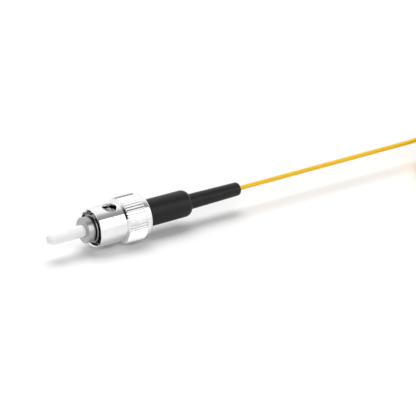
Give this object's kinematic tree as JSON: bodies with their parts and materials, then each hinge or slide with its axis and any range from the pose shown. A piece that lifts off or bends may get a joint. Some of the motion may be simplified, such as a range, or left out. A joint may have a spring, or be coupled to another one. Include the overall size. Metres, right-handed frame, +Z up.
{
  "type": "fibre-optic bayonet connector",
  "caption": "Bayonet fibre connector with a white ceramic ferrule, knurled metal coupling nut and black boot, on a yellow tight-buffered fibre pigtail.",
  "frame": {"origin": "centre of the plug's footprint, on the surface that the coupling nut's knurl lies on", "axes": "+X from the ferrule's tip towards the boot and the fibre, along the plug's axis, +Z up"},
  "size_m": [0.0962, 0.0177, 0.0095],
  "materials": {
    "zirconia": "polished white ceramic",
    "glass": "clear",
    "coating": "clear acrylate",
    "yellow_buffer": "smooth extruded plastic",
    "holder_nickel": "turned, satin nickel plate",
    "body_nickel": "turned, bright nickel plate",
    "nut_nickel": "turned and knurled, bright nickel plate",
    "spring_steel": "drawn wire",
    "washer_steel": "stamped",
    "guide_plastic": "smooth extruded plastic",
    "boot_rubber": "moulded, satin",
    "tie_film": "thin wrapped film"
  },
  "bodies": {
    "plug": {"ferrule": "zirconia", "glass_fibre": "glass", "fibre_coating": "coating", "fibre_buffer": "yellow_buffer", "ferrule_holder": "holder_nickel", "plug_body": "body_nickel", "spring": "spring_steel", "slip_washer": "washer_steel", "retaining_ring": "washer_steel", "guide_tube": "guide_plastic", "boot": "boot_rubber", "fibre_lead": "yellow_buffer", "fibre_coil": "yellow_buffer", "coil_tie_front": "tie_film", "coil_tie_back": "tie_film"},
    "carriage": {"thrust_washer": "washer_steel"},
    "nut": {"coupling_nut": "nut_nickel"}
  },
  "joints": [
    {"name": "nut_slide", "type": "slide", "parent": "plug", "child": "carriage", "axis": [-1, 0, 0], "range_m": [0, 0.002], "stiffness_N_per_m": 2000, "springref_m": -0.002, "deforming": ["spring"]},
    {"name": "nut_turn", "type": "hinge", "parent": "carriage", "child": "nut", "pos_m": [-0.004, 0, 0.00475], "axis": [-1, 0, 0], "continuous": true}
  ]
}
